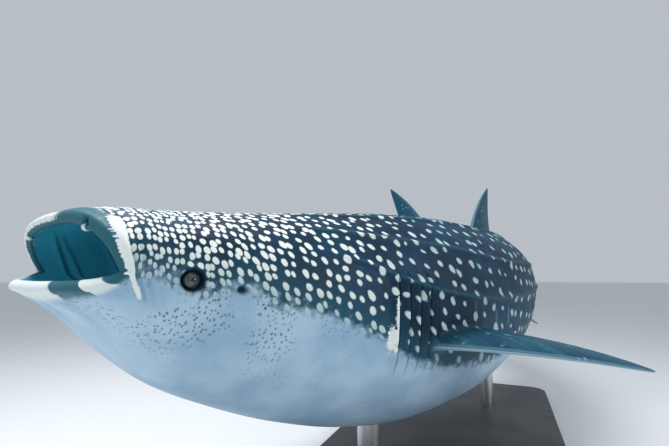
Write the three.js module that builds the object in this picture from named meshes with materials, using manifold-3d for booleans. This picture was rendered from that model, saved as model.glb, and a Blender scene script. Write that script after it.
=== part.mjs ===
// A life-size museum model of a whale shark, feeding with its mouth open, on a flat stand.
// The body is one bent centreline carrying smooth cross-sections, cut into lengths; the fins
// are swept sections that stop at the skin. Millimetres, +Z up, nose towards -Y, tail towards
// +Y. The origin is the middle of the underside of the stand's base.
import * as THREE from "three";
import Module from "manifold-3d";

const wasm = await Module();
wasm.setup();

// Overall placing
const GAP = 0.3;
const AXIS_HEIGHT = 1330;
const PLAN_SHIFT = { x: 470, y: -3486 };

const DEG = Math.PI / 180;

// Stations along the body in millimetres; the lips reach a little in front of station 0
const BODY_END = 6080;
const JAW_BACK = 210;
const HEAD_BACK = 1250;
const GILLS_BACK = 1720;
const CAVITY_END = 840;
const MOUTH_CORNER = 35;
const UPPER_LIP = -65;
const EYE_STATION = 325;
const SPIRACLE_STATION = 560;

// Profile tables: [station, value]
const HEADING = [
  [-120, 76],
  [80, 72],
  [350, 64],
  [700, 58],
  [1250, 55],
  [1850, 60],
  [2650, 69],
  [3350, 81],
  [4150, 94],
  [5050, 107],
  [5700, 131],
  [6080, 150],
];
const HALF_WIDTH = [
  [-120, 440],
  [-60, 460],
  [40, 500],
  [250, 522],
  [550, 585],
  [950, 635],
  [1350, 655],
  [1750, 650],
  [2250, 625],
  [2850, 575],
  [3550, 490],
  [4350, 365],
  [5050, 235],
  [5650, 140],
  [5870, 105],
  [6080, 42],
];
const TOP = [
  [-120, 215],
  [-60, 252],
  [0, 278],
  [100, 294],
  [300, 302],
  [550, 318],
  [950, 350],
  [1350, 385],
  [1750, 415],
  [2250, 430],
  [2850, 422],
  [3550, 372],
  [4350, 285],
  [5050, 210],
  [5650, 165],
  [6080, 128],
];
const BOTTOM = [
  [-120, -60],
  [-60, -110],
  [30, -200],
  [180, -365],
  [330, -490],
  [550, -605],
  [950, -765],
  [1350, -868],
  [1750, -915],
  [2250, -895],
  [2850, -790],
  [3550, -640],
  [4350, -465],
  [5050, -310],
  [5650, -200],
  [6080, -128],
];
const WIDEST = [
  [-120, 22],
  [150, 10],
  [450, -40],
  [950, -110],
  [1550, -150],
  [2350, -140],
  [3350, -90],
  [4350, -40],
  [5150, 0],
  [6080, 0],
];
// How square the upper and lower halves of a section are: 2 is an ellipse
const UPPER_POWER = [
  [-60, 3],
  [250, 2.7],
  [950, 2.35],
  [2250, 2.15],
  [6080, 2],
];
const LOWER_POWER = [
  [-60, 2.6],
  [250, 2.3],
  [1350, 2.1],
  [6080, 2],
];
const CAVITY_HALF_WIDTH = [
  [-120, 395],
  [40, 448],
  [260, 435],
  [480, 375],
  [670, 265],
  [840, 120],
];
const CAVITY_TOP = [
  [-120, 175],
  [-60, 212],
  [40, 246],
  [260, 240],
  [480, 185],
  [670, 100],
  [840, 10],
];
const CAVITY_BOTTOM = [
  [-120, -18],
  [-60, -42],
  [40, -90],
  [260, -190],
  [480, -240],
  [670, -210],
  [840, -120],
];

// Ridges on each flank: where each runs, as degrees round from the top of the back
const RIDGES = [
  {
    path: [
      [650, 26],
      [2250, 30],
      [6080, 36],
    ],
    from: 650,
    to: 5200,
    height: 13,
  },
  {
    path: [
      [650, 44],
      [1050, 48],
      [1750, 58],
      [2650, 68],
      [6080, 66],
    ],
    from: 750,
    to: 4700,
    height: 17,
  },
  {
    path: [
      [650, 60],
      [1050, 66],
      [1650, 84],
      [2250, 90],
      [6080, 90],
    ],
    from: 850,
    to: 6080,
    height: 18,
  },
];
const RIDGE_HALF_WIDTH = 26;
const KEEL = { from: 4700, peak: 5600, fade: 5700, to: 6060, height: 62, halfWidth: 34 };

// Gill slits: the raised rear edge of each flap stands over a narrow pit
const GILL_STATIONS = [1385, 1452, 1518, 1580, 1638];
const GILL = { rise: 20, pit: 26, ramp: 54, top: 78, bottom: 113, fade: 7 };

// Smooth value of a table at a station, by cubic pieces that don't overshoot
function valueAt(table, x) {
  const last = table.length - 1;
  if (x <= table[0][0]) return table[0][1];
  if (x >= table[last][0]) return table[last][1];
  let i = 0;
  while (x > table[i + 1][0]) i++;
  const slope = (k) => (table[k + 1][1] - table[k][1]) / (table[k + 1][0] - table[k][0]);
  const tangent = (k) => {
    if (k === 0) return slope(0);
    if (k === last) return slope(last - 1);
    const before = slope(k - 1);
    const after = slope(k);
    return before * after <= 0 ? 0 : (2 * before * after) / (before + after);
  };
  const span = table[i + 1][0] - table[i][0];
  const t = (x - table[i][0]) / span;
  const rise = t * t * (3 - 2 * t);
  return (
    table[i][1] * (1 - rise) +
    table[i + 1][1] * rise +
    span * t * (1 - t) * (tangent(i) * (1 - t) - tangent(i + 1) * t)
  );
}

const smoothStep = (low, high, x) => {
  const t = Math.min(1, Math.max(0, (x - low) / (high - low)));
  return t * t * (3 - 2 * t);
};

// Plan position of the centreline, summed in short steps forwards and back from one station
const STEP = 10;
const ANCHOR = { station: 1250, x: -1090, y: 2235 };
const CENTRELINE_START = -150;
const centreline = [];
{
  const walk = (from, to, way) => {
    const places = [];
    let { x, y } = ANCHOR;
    for (let s = from; (to - s) * way > 0; s += STEP * way) {
      const heading = valueAt(HEADING, s + (STEP / 2) * way) * DEG;
      x += STEP * way * Math.cos(heading);
      y += STEP * way * Math.sin(heading);
      places.push([x, y]);
    }
    return places;
  };
  centreline.push(
    ...walk(ANCHOR.station, CENTRELINE_START, -1).reverse(),
    [ANCHOR.x, ANCHOR.y],
    ...walk(ANCHOR.station, 8000, 1),
  );
}

// Frame of the body at a station: its centre, the way to the tail and the animal's left
function frameAt(s) {
  const k = Math.min(centreline.length - 2, Math.max(0, (s - CENTRELINE_START) / STEP));
  const i = Math.floor(k);
  const f = k - i;
  const [ax, ay] = centreline[i];
  const [bx, by] = centreline[i + 1];
  const heading = valueAt(HEADING, s) * DEG;
  return {
    centre: new THREE.Vector3(
      ax + (bx - ax) * f + PLAN_SHIFT.x,
      ay + (by - ay) * f + PLAN_SHIFT.y,
      AXIS_HEIGHT,
    ),
    back: new THREE.Vector3(Math.cos(heading), Math.sin(heading), 0),
    left: new THREE.Vector3(Math.sin(heading), -Math.cos(heading), 0),
    up: new THREE.Vector3(0, 0, 1),
  };
}

// A point given by its distances left and up from the centreline at a station
function placed(s, left, up) {
  const f = frameAt(s);
  return f.centre
    .clone()
    .addScaledVector(f.left, left)
    .addScaledVector(f.up, up);
}

const signedPower = (x, p) => Math.sign(x) * Math.abs(x) ** p;

// Section outline: angle runs from the top of the back down the left flank, in degrees
function sectionPoint(s, angle, widest, halfWidth, top, bottom, upper, lower) {
  const a = angle * DEG;
  const power = Math.cos(a) >= 0 ? upper : lower;
  const reach = Math.cos(a) >= 0 ? top - widest : widest - bottom;
  return [
    halfWidth * signedPower(Math.sin(a), 2 / power),
    widest + reach * signedPower(Math.cos(a), 2 / power),
  ];
}

// How far the skin stands out of the plain section: ridges, tail keel and gill flaps
function relief(s, angle) {
  const side = Math.abs(angle > 180 ? angle - 360 : angle);
  const girth = (valueAt(TOP, s) - valueAt(BOTTOM, s)) / 2;
  let out = 0;
  RIDGES.forEach((ridge, i) => {
    const off = (side - valueAt(ridge.path, s)) * DEG * girth;
    const ends = smoothStep(ridge.from, ridge.from + 500, s) * (1 - smoothStep(ridge.to - 600, ridge.to, s));
    let height = ridge.height * ends;
    let halfWidth = RIDGE_HALF_WIDTH;
    if (i === 2) {
      const keel = smoothStep(KEEL.from, KEEL.peak, s) * (1 - smoothStep(KEEL.fade, KEEL.to, s));
      height += KEEL.height * keel;
      halfWidth += (KEEL.halfWidth - RIDGE_HALF_WIDTH) * keel;
    }
    out += height * Math.exp(-((off / halfWidth) ** 2));
  });
  const tall = smoothStep(GILL.top - GILL.fade, GILL.top + GILL.fade, side) *
    (1 - smoothStep(GILL.bottom - GILL.fade, GILL.bottom + GILL.fade, side));
  for (const gill of GILL_STATIONS) {
    const d = s - gill;
    if (d > -GILL.ramp && d <= -8) out += GILL.rise * tall * smoothStep(-GILL.ramp, -8, d);
    else if (d > -8 && d <= 4) out += tall * (GILL.rise - (GILL.rise + GILL.pit) * smoothStep(-8, 4, d));
    else if (d > 4 && d < 18) out -= GILL.pit * tall * (1 - smoothStep(4, 18, d));
  }
  return out;
}

// Point on the skin; grow moves it outwards
function skinPoint(s, angle, grow = 0) {
  const widest = valueAt(WIDEST, s);
  const [left, up] = sectionPoint(
    s,
    angle,
    widest,
    valueAt(HALF_WIDTH, s),
    valueAt(TOP, s),
    valueAt(BOTTOM, s),
    valueAt(UPPER_POWER, s),
    valueAt(LOWER_POWER, s),
  );
  const away = Math.hypot(left, up - widest) || 1;
  const out = relief(s, angle) + grow;
  return placed(s, left + (left / away) * out, up + ((up - widest) / away) * out);
}

// Point on the wall of the mouth cavity
function cavityPoint(s, angle) {
  const [left, up] = sectionPoint(
    s,
    angle,
    valueAt(WIDEST, s),
    valueAt(CAVITY_HALF_WIDTH, s),
    valueAt(CAVITY_TOP, s),
    valueAt(CAVITY_BOTTOM, s),
    2.6,
    2.4,
  );
  return placed(s, left, up);
}

// Closed solid through a row of closed loops. Each end is a fan, or a ladder on a thin loop.
function loft(loops, ends = "fan") {
  const count = loops[0].length;
  const corners = [];
  const add = (a, b, c) => corners.push(a, b, c);
  for (let i = 0; i + 1 < loops.length; i++) {
    for (let k = 0; k < count; k++) {
      const n = (k + 1) % count;
      const [a, b, c, d] = [loops[i][k], loops[i][n], loops[i + 1][n], loops[i + 1][k]];
      if (k < count / 2) {
        add(a, b, c);
        add(a, c, d);
      } else {
        add(a, b, d);
        add(b, c, d);
      }
    }
  }
  const close = (loop, turned) => {
    const face = (a, b, c) => (turned ? add(a, c, b) : add(a, b, c));
    if (ends === "fan") {
      const middle = loop
        .reduce((sum, p) => sum.add(p), new THREE.Vector3())
        .multiplyScalar(1 / count);
      loop.forEach((p, k) => face(middle, loop[(k + 1) % count], p));
    } else {
      for (let k = 0; k < count / 2 - 1; k++) {
        const [a, b, c, d] = [loop[k], loop[k + 1], loop[count - 2 - k], loop[count - 1 - k]];
        face(a, c, b);
        face(a, d, c);
      }
    }
  };
  close(loops[0], false);
  close(loops[loops.length - 1], true);
  return geometryFrom(corners);
}

// Geometry from triangle corners, turned to face out
function geometryFrom(corners) {
  let volume = 0;
  const cross = new THREE.Vector3();
  for (let i = 0; i < corners.length; i += 3) {
    volume += corners[i].dot(cross.crossVectors(corners[i + 1], corners[i + 2]));
  }
  const array = new Float32Array(corners.length * 3);
  corners.forEach((p, i) => {
    const slot = volume < 0 && i % 3 === 1 ? i + 1 : volume < 0 && i % 3 === 2 ? i - 1 : i;
    p.toArray(array, slot * 3);
  });
  const geometry = new THREE.BufferGeometry();
  geometry.setAttribute("position", new THREE.BufferAttribute(array, 3));
  return geometry;
}

// Joining and cutting of closed solids
function toSolid(geometry) {
  const source = geometry.index ? geometry.toNonIndexed() : geometry;
  const position = source.getAttribute("position");
  const found = new Map();
  const vertices = [];
  const faces = [];
  for (let i = 0; i < position.count; i++) {
    const p = [position.getX(i), position.getY(i), position.getZ(i)];
    const key = p.map((v) => Math.round(v * 500)).join(" ");
    if (!found.has(key)) {
      found.set(key, vertices.length / 3);
      vertices.push(...p);
    }
    faces.push(found.get(key));
  }
  const kept = [];
  for (let i = 0; i < faces.length; i += 3) {
    const [a, b, c] = faces.slice(i, i + 3);
    if (a !== b && b !== c && c !== a) kept.push(a, b, c);
  }
  return new wasm.Manifold(
    new wasm.Mesh({
      numProp: 3,
      vertProperties: new Float32Array(vertices),
      triVerts: new Uint32Array(kept),
    }),
  );
}

// Geometry of the largest closed piece of a solid
function fromSolid(solid) {
  const largest = solid.decompose().reduce((a, b) => (a.volume() > b.volume() ? a : b));
  const mesh = largest.simplify(0.05).getMesh();
  const array = new Float32Array(mesh.triVerts.length * 3);
  mesh.triVerts.forEach((v, i) => {
    for (let c = 0; c < 3; c++) array[i * 3 + c] = mesh.vertProperties[v * mesh.numProp + c];
  });
  const geometry = new THREE.BufferGeometry();
  geometry.setAttribute("position", new THREE.BufferAttribute(array, 3));
  return geometry;
}

const cut = (geometry, ...tools) =>
  fromSolid(tools.reduce((solid, tool) => solid.subtract(toSolid(tool)), toSolid(geometry)));
const joined = (geometry, ...extras) =>
  fromSolid(extras.reduce((solid, extra) => solid.add(toSolid(extra)), toSolid(geometry)));

// Angles of one ring: extra lines run along each ridge's crest and feet
const BETWEEN = [2, 2, 2, 8];
const WIDEST_FOOT = 10;
function ringAngles(s) {
  const girth = (valueAt(TOP, s) - valueAt(BOTTOM, s)) / 2;
  const foot = Math.min(WIDEST_FOOT, (RIDGE_HALF_WIDTH * 1.5) / girth / DEG);
  const half = [0];
  RIDGES.forEach((ridge, i) => {
    const crest = valueAt(ridge.path, s);
    const from = half[half.length - 1];
    const to = crest - foot;
    for (let k = 1; k <= BETWEEN[i]; k++) half.push(from + ((to - from) * k) / (BETWEEN[i] + 1));
    half.push(to, crest, crest + foot);
  });
  const from = half[half.length - 1];
  for (let k = 1; k <= BETWEEN[3]; k++) half.push(from + ((180 - from) * k) / (BETWEEN[3] + 1));
  const other = half.slice(1).reverse().map((a) => 360 - a);
  return [...half, 180, ...other];
}

const skinRing = (s, grow = 0) => ringAngles(s).map((a) => skinPoint(s, a, grow));
const cavityRing = (s) => ringAngles(s).map((a) => cavityPoint(s, a));

// Stations of the rings from one end of a length to the other
const RING_STEP = 140;
function stationsBetween(from, to, extra = [], step = RING_STEP) {
  const count = Math.max(1, Math.round((to - from) / step));
  const even = Array.from({ length: count + 1 }, (_, i) => from + ((to - from) * i) / count);
  const clear = even.filter(
    (s, i) => i === 0 || i === count || extra.every((e) => Math.abs(e - s) > 12),
  );
  return [...clear, ...extra].sort((a, b) => a - b);
}

const gillStations = GILL_STATIONS.flatMap((g) => [g - GILL.ramp + 4, g - 9, g + 4, g + 17]);

// Lengths of the body behind the head, each ending half a gap short of its neighbours
const LENGTHS = [
  { name: "gill_region", from: HEAD_BACK, to: GILLS_BACK, extra: gillStations },
  { name: "trunk_front", from: GILLS_BACK, to: 2500 },
  { name: "trunk_middle", from: 2500, to: 3300 },
  { name: "trunk_rear", from: 3300, to: 4300 },
  { name: "tail_front", from: 4300, to: 5250 },
  { name: "tail_stalk", from: 5250, to: BODY_END },
].map(({ name, from, to, extra = [] }) => ({
  name,
  stations: stationsBetween(from + GAP / 2, to - GAP / 2, extra),
}));

const length = ({ stations }) => loft(stations.map((s) => skinRing(s)));

// Stretch of the body a little larger than the skin, which trims the fins and rods
const TRIM = { gap: 0.3, gills: 1.2 };
function trimmer(from, to) {
  const stations = LENGTHS.flatMap((part) => part.stations).filter((s) => s > from && s < to);
  if (to > BODY_END) stations.push(BODY_END + TRIM.gap);
  return loft(stations.map((s) => skinRing(s, s < GILLS_BACK + 60 ? TRIM.gills : TRIM.gap)));
}

// Jaws: a wall between the outer skin and the cavity, rounded into a lip at the rim
const LIP = { roll: 14, reach: 26, rounds: 4, lower: 46 };
const JAW_ROWS = 7;
const JAW_COLUMNS = 24;
function rimStation(angle, lower) {
  const across = Math.abs(Math.sin(angle * DEG));
  const front = lower ? UPPER_LIP - LIP.lower : UPPER_LIP;
  return front + (MOUTH_CORNER - front) * (1 - (1 - across ** 3) ** (1 / 3));
}

function jaw(lower) {
  const shift = lower ? -GAP / 2 : GAP / 2;
  const loops = [];
  for (let j = 0; j <= JAW_COLUMNS; j++) {
    const turn = -90 + (180 * j) / JAW_COLUMNS;
    const angle = lower ? 180 - turn : turn;
    const rim = rimStation(angle, lower);
    const back = JAW_BACK - GAP / 2;
    const outer = [];
    const inner = [];
    for (let i = 0; i <= JAW_ROWS; i++) {
      const u = (i / JAW_ROWS) ** 0.75;
      const s = back + (rim - back) * u;
      const roll = LIP.roll * smoothStep(0.72, 0.95, u);
      outer.push(skinPoint(s, angle, roll));
      inner.push(cavityPoint(s, angle));
    }
    const lipOuter = outer[JAW_ROWS];
    const lipInner = inner[JAW_ROWS];
    const { back: tailward } = frameAt(rim);
    const rounds = [];
    for (let k = 1; k < LIP.rounds; k++) {
      const t = k / LIP.rounds;
      rounds.push(
        lipOuter
          .clone()
          .lerp(lipInner, (1 - Math.cos(Math.PI * t)) / 2)
          .addScaledVector(tailward, -LIP.reach * Math.sin(Math.PI * t)),
      );
    }
    const loop = [...outer, ...rounds, ...inner.reverse()];
    if (loop.length % 2) loop.splice(JAW_ROWS + 1, 1);
    loops.push(loop.map((p) => p.clone().add(new THREE.Vector3(0, 0, shift))));
  }
  return loft(loops, "ladder");
}

// Copy of a shape, turned so that its own z points out and its own x along
function laid(geometry, at, out, along, tilt = 0) {
  const flat = along.clone().addScaledVector(out, -along.dot(out)).normalize();
  const across = new THREE.Vector3().crossVectors(out, flat);
  const copy = geometry.clone();
  copy.rotateZ(tilt * DEG);
  copy.applyMatrix4(new THREE.Matrix4().makeBasis(flat, across, out));
  copy.translate(at.x, at.y, at.z);
  return copy;
}

// Small rounded bodies for sockets, lids and spiracles, turned to lie on the skin
function onSkin(geometry, s, angle, sink = 0, tilt = 0) {
  const at = skinPoint(s, angle, -sink);
  const out = skinPoint(s, angle, 100).sub(skinPoint(s, angle, 0)).normalize();
  return laid(geometry, at, out, frameAt(s).back, tilt);
}

// Point on the rounded band of the upper lip; share runs from its outer to its inner edge
function lipPoint(angle, share) {
  const rim = rimStation(angle, false);
  return skinPoint(rim, angle, LIP.roll)
    .lerp(cavityPoint(rim, angle), (1 - Math.cos(Math.PI * share)) / 2)
    .addScaledVector(frameAt(rim).back, -LIP.reach * Math.sin(Math.PI * share));
}

// Small rounded bodies for the nostrils, turned to lie on the lip
function onLip(geometry, angle, share, sink) {
  const at = lipPoint(angle, share);
  const inward = lipPoint(angle, share + 0.1).sub(lipPoint(angle, share - 0.1)).normalize();
  const round = lipPoint(angle + 3, share).sub(lipPoint(angle - 3, share)).normalize();
  const out = new THREE.Vector3().crossVectors(inward, round).normalize();
  if (out.dot(frameAt(0).back) > 0) out.negate();
  return laid(geometry, at.addScaledVector(out, -sink), out, inward);
}

const EYE = { radius: 34, sink: 14, socket: 58, socketDepth: 24 };
function ellipsoid(a, b, c, around = 20, down = 12) {
  const geometry = new THREE.SphereGeometry(1, around, down);
  geometry.scale(a, b, c);
  return geometry;
}

function head() {
  const front = JAW_BACK + GAP / 2;
  const cavity = stationsBetween(front, CAVITY_END).reverse().map(cavityRing);
  const outer = stationsBetween(front, HEAD_BACK - GAP / 2).map((s) => skinRing(s));
  let geometry = loft([...cavity, ...outer]);
  for (const side of [90, 270]) {
    const lid = onSkin(new THREE.TorusGeometry(EYE.socket - 4, 11, 8, 24), EYE_STATION, side, 2);
    const socket = onSkin(
      ellipsoid(EYE.socket - 8, EYE.socket - 14, EYE.socketDepth),
      EYE_STATION,
      side,
      -2,
    );
    const ball = onSkin(
      ellipsoid(EYE.radius + GAP, EYE.radius + GAP, EYE.radius + GAP, 16, 10),
      EYE_STATION,
      side,
      EYE.sink,
    );
    const spiracle = onSkin(ellipsoid(24, 13, 16, 12, 8), SPIRACLE_STATION, side, 0, 20);
    geometry = cut(joined(geometry, lid), socket, ball, spiracle);
  }
  return geometry;
}

const eye = (side) =>
  onSkin(ellipsoid(EYE.radius, EYE.radius, EYE.radius, 16, 10), EYE_STATION, side, EYE.sink);

const NOSTRIL = { angle: 43, hole: 0.5, flap: 0.84 };
function upperJaw() {
  let geometry = jaw(false);
  for (const side of [NOSTRIL.angle, 360 - NOSTRIL.angle]) {
    const hole = onLip(ellipsoid(11, 15, 17, 12, 8), side, NOSTRIL.hole, 0);
    const flap = onLip(ellipsoid(20, 14, 11, 12, 8), side, NOSTRIL.flap, 2);
    geometry = cut(joined(geometry, flap), hole);
  }
  return geometry;
}

// Fin: streamlined sections stacked from inside the body to the tip.
// along runs from the leading to the trailing edge, out from root to tip, face across it.
const FIN_ROWS = 14;
const FIN_CHORD_POINTS = 9;
const FIN_EDGE = 7;
function fin({ root, along, out, face, span, rootChord, tipChord, sweep, hollow, thick, sunk, arch = 0, bow = 0 }) {
  const loops = [];
  const stations = [-sunk / span];
  for (let i = 0; i <= FIN_ROWS; i++) stations.push(1 - (1 - i / FIN_ROWS) ** 1.25);
  for (const u of stations) {
    const v = Math.max(0, u);
    const lead = sweep * (v ** 1.35 * 0.75 + v * 0.25) - bow * Math.sin(Math.PI * v);
    const trail = rootChord + (sweep + tipChord - rootChord) * v - hollow * Math.sin(Math.PI * v ** 0.8);
    const round = Math.sqrt(Math.max(0, 1 - v ** 7));
    const middle = lead * 0.35 + trail * 0.65;
    const chord = Math.max(12, (trail - lead) * round);
    const start = middle + (lead - middle) * round;
    const depth = FIN_EDGE + (thick - FIN_EDGE) * (1 - v) ** 0.8;
    const upper = [];
    const lower = [];
    for (let k = 0; k < FIN_CHORD_POINTS; k++) {
      const c = (1 - Math.cos((Math.PI * k) / (FIN_CHORD_POINTS - 1))) / 2;
      const half = FIN_EDGE / 2 + ((depth - FIN_EDGE) / 2) * Math.sin(Math.PI * c ** 0.62);
      const p = root
        .clone()
        .addScaledVector(out, u * span)
        .addScaledVector(along, start + chord * c)
        .addScaledVector(face, arch * v * v);
      upper.push(p.clone().addScaledVector(face, half));
      lower.push(p.clone().addScaledVector(face, -half));
    }
    loops.push([...upper, ...lower.reverse()]);
  }
  return loft(loops, "ladder");
}

// Directions of a fin from its root on the skin
function finFrame(s, outLeft, outUp, outBack) {
  const f = frameAt(s);
  const out = f.left
    .clone()
    .multiplyScalar(outLeft)
    .addScaledVector(f.up, outUp)
    .addScaledVector(f.back, outBack)
    .normalize();
  const along = f.back.clone().addScaledVector(out, -f.back.dot(out)).normalize();
  const face = new THREE.Vector3().crossVectors(out, along);
  return { out, along, face };
}

// A fin standing on the midline: the fin line follows the bend of the body
function medianFin({ station, up, ...size }) {
  const level = up ? valueAt(TOP, station) : valueAt(BOTTOM, station);
  const frame = finFrame(station, 0, up ? 1 : -1, 0);
  const shape = fin({ root: placed(station, 0, level), ...frame, ...size });
  return cut(shape, trimmer(station - 500, station + size.rootChord + 500));
}

const dorsalFirst = () =>
  medianFin({
    station: 3240, up: true, span: 590, rootChord: 850, tipChord: 100, sweep: 730,
    hollow: 95, thick: 105, sunk: 190, bow: 30,
  });
const dorsalSecond = () =>
  medianFin({
    station: 4860, up: true, span: 265, rootChord: 330, tipChord: 60, sweep: 270,
    hollow: 45, thick: 52, sunk: 110, bow: 12,
  });
const analFin = () =>
  medianFin({
    station: 4980, up: false, span: 285, rootChord: 300, tipChord: 60, sweep: 280,
    hollow: 45, thick: 48, sunk: 110, bow: 12,
  });

// Paired fins; side is 1 on the animal's left and -1 on its right
function pairedFin(side, { station, angle, down, sweepBack, twist, ...size }) {
  const around = side > 0 ? angle : 360 - angle;
  const frame = finFrame(station, side, -down, sweepBack);
  const tilt = new THREE.Quaternion().setFromAxisAngle(frame.out, -side * twist * DEG);
  frame.along.applyQuaternion(tilt);
  frame.face.applyQuaternion(tilt);
  const shape = fin({ root: skinPoint(station, around), ...frame, ...size, arch: size.arch * side });
  return cut(shape, trimmer(station - 500, station + size.rootChord + 600));
}

const pectoral = (side) =>
  pairedFin(side, {
    station: 1590, angle: 106, down: -0.02, sweepBack: 0.85, twist: -10, span: 1190, rootChord: 470,
    tipChord: 110, sweep: 320, hollow: 70, thick: 95, sunk: 330, bow: 60, arch: -235,
  });
const pelvic = (side) =>
  pairedFin(side, {
    station: 3900, angle: 128, down: 0.75, sweepBack: 0.55, twist: 6, span: 350, rootChord: 340,
    tipChord: 90, sweep: 150, hollow: 35, thick: 50, sunk: 150, bow: 20, arch: 10,
  });

// Tail fin: two lobes that share the end of the body, kept apart by the gap
const TAIL = { station: 5880, seam: -20 };
function tailLobe(up) {
  const f = frameAt(BODY_END - 60);
  const bend = valueAt(HEADING, BODY_END) * DEG + 6 * DEG;
  const back = new THREE.Vector3(Math.cos(bend), Math.sin(bend), 0);
  const rise = up ? 58 * DEG : -52 * DEG;
  const out = back
    .clone()
    .multiplyScalar(Math.cos(rise))
    .addScaledVector(f.up, Math.sin(rise));
  const along = back
    .clone()
    .multiplyScalar(Math.abs(Math.sin(rise)))
    .addScaledVector(f.up, -Math.sign(rise) * Math.cos(rise));
  const face = new THREE.Vector3().crossVectors(out, along);
  const size = up
    ? { span: 1840, rootChord: 640, tipChord: 120, sweep: 60, hollow: 60, thick: 150, sunk: 260, bow: 120 }
    : { span: 1180, rootChord: 560, tipChord: 100, sweep: 60, hollow: 60, thick: 130, sunk: 220, bow: 90 };
  const root = placed(TAIL.station, 0, up ? 60 : -60);
  const side = up ? 1 : -1;
  const seam = placed(TAIL.station, 0, TAIL.seam);
  const wall = new THREE.BoxGeometry(6000, 6000, 3000);
  wall.translate(seam.x, seam.y, seam.z - side * (1500 - GAP / 2));
  return cut(fin({ root, along, out, face, ...size }), trimmer(4700, BODY_END + 1), wall);
}

// Stand: a flat base and two round rods cut off at the belly
const STAND = {
  width: 1700,
  length: 3600,
  thick: 70,
  rods: [
    { name: "stand_rod_front", station: 1700, radius: 75 },
    { name: "stand_rod_rear", station: 3700, radius: 60 },
  ],
};

function standBase() {
  const half = { x: STAND.width / 2, y: STAND.length / 2, corner: 160 };
  const shape = new THREE.Shape();
  shape.moveTo(-half.x + half.corner, -half.y);
  shape.lineTo(half.x - half.corner, -half.y);
  shape.absarc(half.x - half.corner, -half.y + half.corner, half.corner, -Math.PI / 2, 0);
  shape.lineTo(half.x, half.y - half.corner);
  shape.absarc(half.x - half.corner, half.y - half.corner, half.corner, 0, Math.PI / 2);
  shape.lineTo(-half.x + half.corner, half.y);
  shape.absarc(-half.x + half.corner, half.y - half.corner, half.corner, Math.PI / 2, Math.PI);
  shape.lineTo(-half.x, -half.y + half.corner);
  shape.absarc(-half.x + half.corner, -half.y + half.corner, half.corner, Math.PI, Math.PI * 1.5);
  return new THREE.ExtrudeGeometry(shape, {
    depth: STAND.thick - 8,
    bevelThickness: 4,
    bevelSize: 4,
    bevelOffset: -4,
    bevelSegments: 1,
    curveSegments: 4,
  }).translate(0, 0, 4);
}

function standRod({ station, radius }) {
  const foot = placed(station, 0, 0);
  const rise = AXIS_HEIGHT - STAND.thick - GAP;
  const rod = new THREE.CylinderGeometry(radius, radius, rise, 32);
  rod.rotateX(Math.PI / 2);
  rod.translate(foot.x, foot.y, STAND.thick + GAP + rise / 2);
  return cut(rod, trimmer(station - 400, station + 400));
}

// Colours
const material = (name, color, roughness, metalness = 0) => {
  const made = new THREE.MeshStandardMaterial({ color, roughness, metalness });
  made.name = name;
  return made;
};

const shark = new THREE.Group();
shark.name = "whale_shark_model";
function put(name, geometry, color, roughness = 0.55, metalness = 0) {
  const mesh = new THREE.Mesh(geometry, material(name, color, roughness, metalness));
  mesh.name = name;
  shark.add(mesh);
}

const BACK_COLOR = 0x2f4a5c;
const FIN_COLOR = 0x2b4354;
const PALE_COLOR = 0x9fb7c4;
put("upper_jaw", upperJaw(), BACK_COLOR);
put("lower_jaw", jaw(true), PALE_COLOR);
put("head", head(), BACK_COLOR);
for (const part of LENGTHS) put(part.name, length(part), BACK_COLOR);
put("eye_left", eye(90), 0x10151a, 0.15);
put("eye_right", eye(270), 0x10151a, 0.15);
put("dorsal_fin_first", dorsalFirst(), FIN_COLOR);
put("dorsal_fin_second", dorsalSecond(), FIN_COLOR);
put("anal_fin", analFin(), FIN_COLOR);
put("pectoral_fin_left", pectoral(1), FIN_COLOR);
put("pectoral_fin_right", pectoral(-1), FIN_COLOR);
put("pelvic_fin_left", pelvic(1), FIN_COLOR);
put("pelvic_fin_right", pelvic(-1), FIN_COLOR);
put("caudal_fin_upper", tailLobe(true), FIN_COLOR);
put("caudal_fin_lower", tailLobe(false), FIN_COLOR);
put("stand_base", standBase(), 0x3a3c3e, 0.6);
for (const rod of STAND.rods) put(rod.name, standRod(rod), 0x8a8d90, 0.35, 0.8);

export default shark;
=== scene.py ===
"""Fine skin, eyes, stand finish, floor, light and camera of a life-size whale shark model.

The body is a bent centreline with smooth sections, in millimetres and degrees. A station is a
distance along it from the mouth to the tail. An angle runs from the top of the back down the left
flank and on round, and a side angle down either flank. One closed skin stands for all the flesh.
"""

import math

import bpy
import numpy as np
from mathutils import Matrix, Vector
from mathutils.kdtree import KDTree


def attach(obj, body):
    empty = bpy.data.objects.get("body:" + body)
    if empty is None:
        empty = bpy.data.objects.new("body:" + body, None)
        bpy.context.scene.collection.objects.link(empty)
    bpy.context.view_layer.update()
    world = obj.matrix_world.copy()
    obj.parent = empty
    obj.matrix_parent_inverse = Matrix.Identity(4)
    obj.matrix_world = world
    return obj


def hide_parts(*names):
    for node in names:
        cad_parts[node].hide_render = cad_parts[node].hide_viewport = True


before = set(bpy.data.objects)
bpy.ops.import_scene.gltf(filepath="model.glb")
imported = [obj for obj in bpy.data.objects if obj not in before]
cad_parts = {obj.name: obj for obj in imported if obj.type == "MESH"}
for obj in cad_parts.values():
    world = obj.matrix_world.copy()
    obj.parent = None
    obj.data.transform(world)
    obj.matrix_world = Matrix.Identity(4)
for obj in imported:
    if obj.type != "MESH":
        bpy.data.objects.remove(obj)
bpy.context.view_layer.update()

# Stations of the main parts
BODY_END = 6080
TAIL_STATION = 5880
SPIRACLE_STATION = 560
EYE_STATION = 325
JAW_BACK = 210
CAVITY_END = 840
MOUTH_CORNER = 35
UPPER_LIP = -65

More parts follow.
